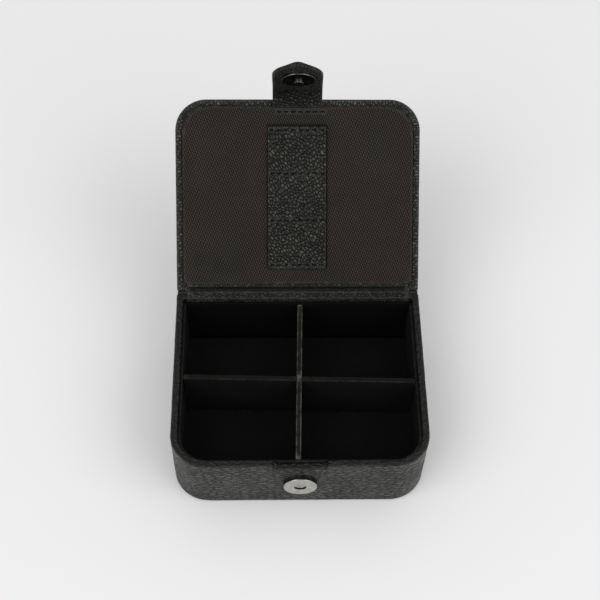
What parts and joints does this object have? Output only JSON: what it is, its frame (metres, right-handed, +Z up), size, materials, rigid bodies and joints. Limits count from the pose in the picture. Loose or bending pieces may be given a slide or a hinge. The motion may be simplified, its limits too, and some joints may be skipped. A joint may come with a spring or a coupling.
{
  "type": "cufflink box",
  "caption": "Leather-covered cufflink box with a hinged padded lid, a snap tab, divided compartments and a loop strap in the lid.",
  "frame": {"origin": "centre of the underside, on the surface that the box stands on", "axes": "+Z up, -Y the box's front with the snap, +Y its hinge side, +X to the right seen from the front"},
  "size_m": [0.106, 0.1539, 0.1178],
  "materials": {
    "black_leather": "semi-matt pebble grain",
    "liner_fabric": "matt black twill",
    "lining_twill": "dark brown-black twill",
    "thread": "black waxed thread",
    "snap_metal": "satin gunmetal",
    "magnet": "dark sintered magnet",
    "greyboard": "plain grey board",
    "card": "plain card",
    "foam": "thin open foam",
    "underside_sheet": "black non-slip sheet"
  },
  "bodies": {
    "base": {"base_wall_board": "greyboard", "base_bottom_board": "greyboard", "base_leather_wrap": "black_leather", "base_underside_panel": "underside_sheet", "liner_wall_card": "card", "liner_wall_fabric": "liner_fabric", "liner_floor_card": "card", "liner_floor_fabric": "liner_fabric", "divider_long_board": "greyboard", "divider_long_fabric": "liner_fabric", "divider_cross_board": "greyboard", "divider_cross_fabric": "liner_fabric", "snap_female_cap": "snap_metal", "snap_magnet": "magnet", "snap_female_plate": "snap_metal", "snap_female_washer": "snap_metal", "hinge_strip_base": "black_leather"},
    "lid": {"hinge_strip_lid": "black_leather", "lid_board": "greyboard", "lid_padding": "foam", "lid_leather_cover": "black_leather", "lid_lining_card": "card", "lid_lining_fabric": "lining_twill", "loop_strap": "black_leather", "strap_stitches": "thread", "tab_seam_stitches": "thread", "tab_root_outer": "black_leather", "tab_root_inner": "black_leather"},
    "tab": {"tab_outer_leather": "black_leather", "tab_inner_leather": "black_leather", "snap_male_disc": "snap_metal", "snap_male_stud": "snap_metal", "snap_male_washer": "snap_metal"}
  },
  "joints": [
    {"name": "lid_hinge", "type": "hinge", "parent": "base", "child": "lid", "pos_m": [0, 0.04175, 0.0347], "axis": [-1, 0, 0], "range_deg": [-140.1, 0]},
    {"name": "tab_fold", "type": "hinge", "parent": "lid", "child": "tab", "pos_m": [0, 0.10893, 0.09139], "axis": [-1, 0, 0], "range_deg": [-17, 73], "stiffness_Nm_per_rad": 0.02}
  ]
}
